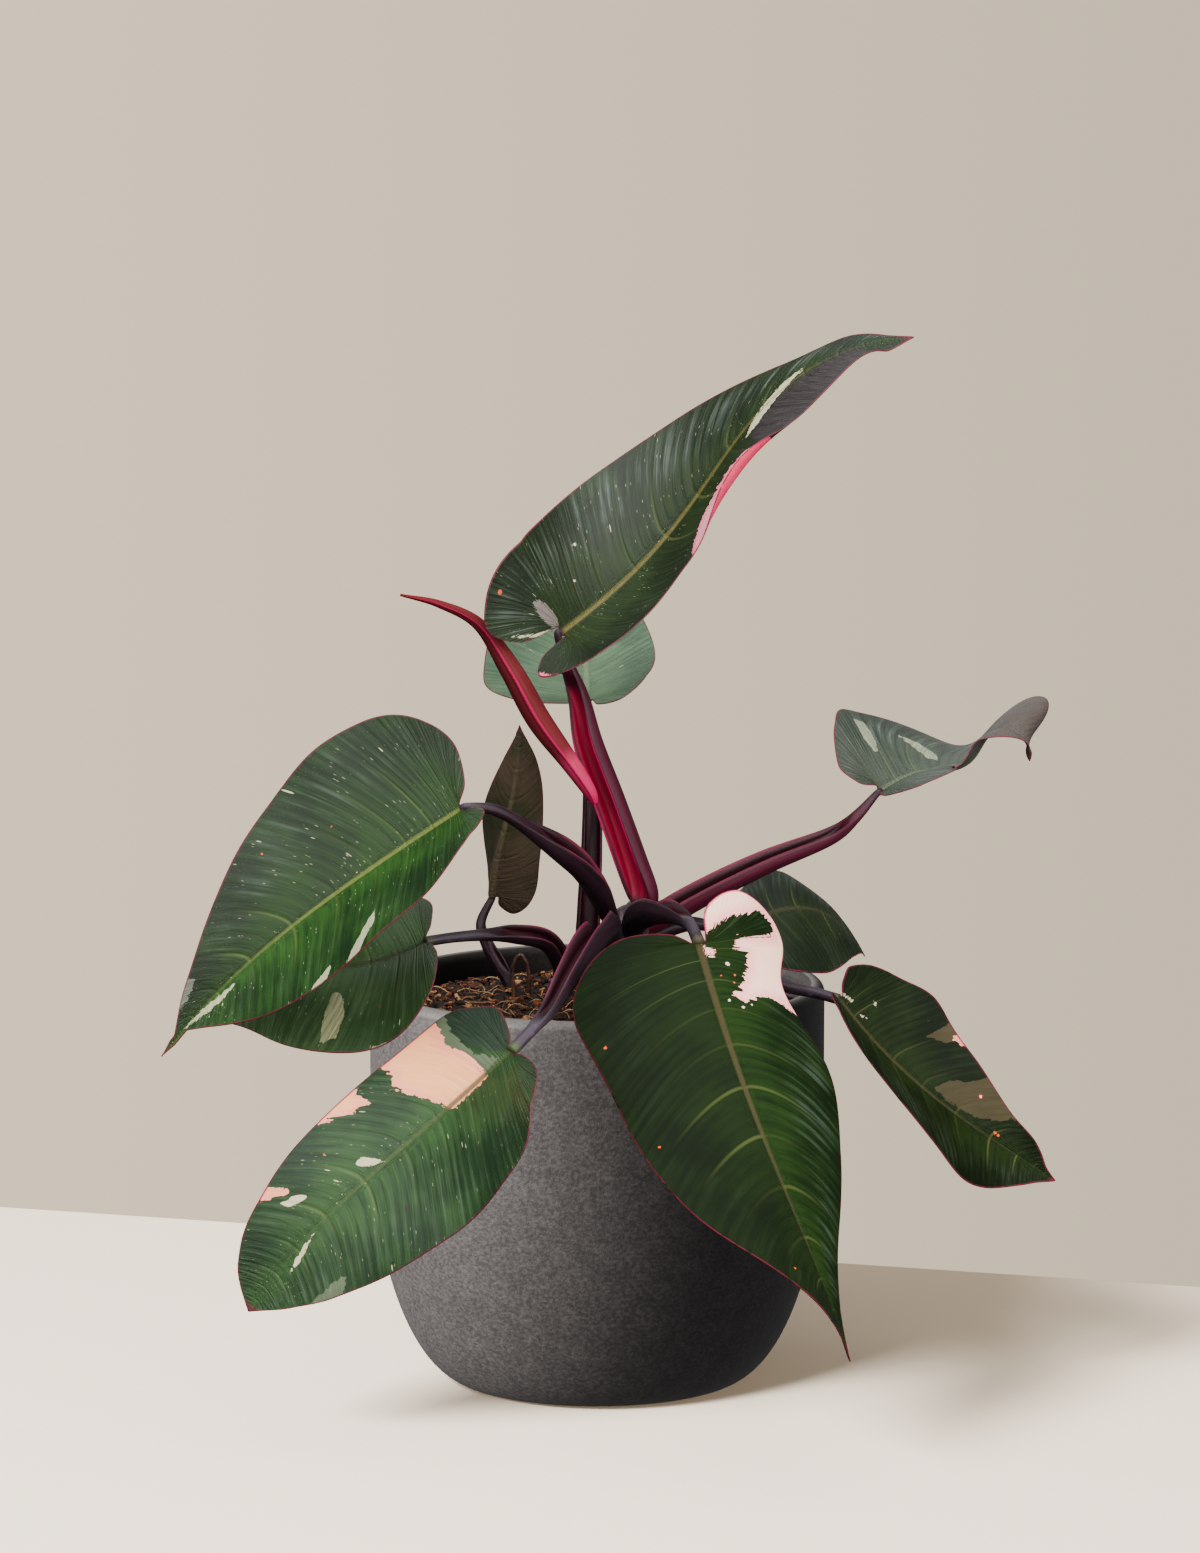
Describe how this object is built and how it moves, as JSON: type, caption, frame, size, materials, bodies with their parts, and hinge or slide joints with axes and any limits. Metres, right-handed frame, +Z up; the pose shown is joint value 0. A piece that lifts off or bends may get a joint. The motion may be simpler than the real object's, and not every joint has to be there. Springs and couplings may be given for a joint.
{
  "type": "potted philodendron",
  "caption": "Young climbing philodendron with pointed dark leaves splashed pink and cream, growing in soil in a round-based straight-sided pot.",
  "frame": {"origin": "centre of the pot's flat foot, on the floor", "axes": "+Z up along the pot's axis, +X to the right and -Y towards the viewer as in the picture"},
  "size_m": [0.3078, 0.2982, 0.3688],
  "materials": {
    "pot_glaze": "matte, mottled grey-brown",
    "potting_mix": "loose, damp bark and fibre",
    "stem_skin": "satin, dark and knobbly",
    "petiole_skin": "satin, dark purple with a pale bloom",
    "leaf_skin": "glossy, dark green marked with pink and cream",
    "new_leaf": "satin, rose red",
    "root_skin": "dry, red-brown",
    "stub_skin": "dry, purple-brown"
  },
  "bodies": {
    "root": {"pot": "pot_glaze", "soil": "potting_mix", "stem": "stem_skin", "blade_top": "leaf_skin", "stalk_top": "petiole_skin", "blade_left": "leaf_skin", "stalk_left": "petiole_skin", "blade_left_lower": "leaf_skin", "stalk_left_lower": "petiole_skin", "blade_bottom_left": "leaf_skin", "stalk_bottom_left": "petiole_skin", "blade_front": "leaf_skin", "stalk_front": "petiole_skin", "blade_right_curled": "leaf_skin", "stalk_right_curled": "petiole_skin", "blade_small_back": "leaf_skin", "stalk_small_back": "petiole_skin", "blade_back_right": "leaf_skin", "stalk_back_right": "petiole_skin", "blade_right_lower": "leaf_skin", "stalk_right_lower": "petiole_skin", "blade_back_top": "leaf_skin", "stalk_back_top": "petiole_skin", "new_leaf": "new_leaf", "dried_root": "root_skin", "old_stub": "stub_skin"}
  },
  "joints": []
}
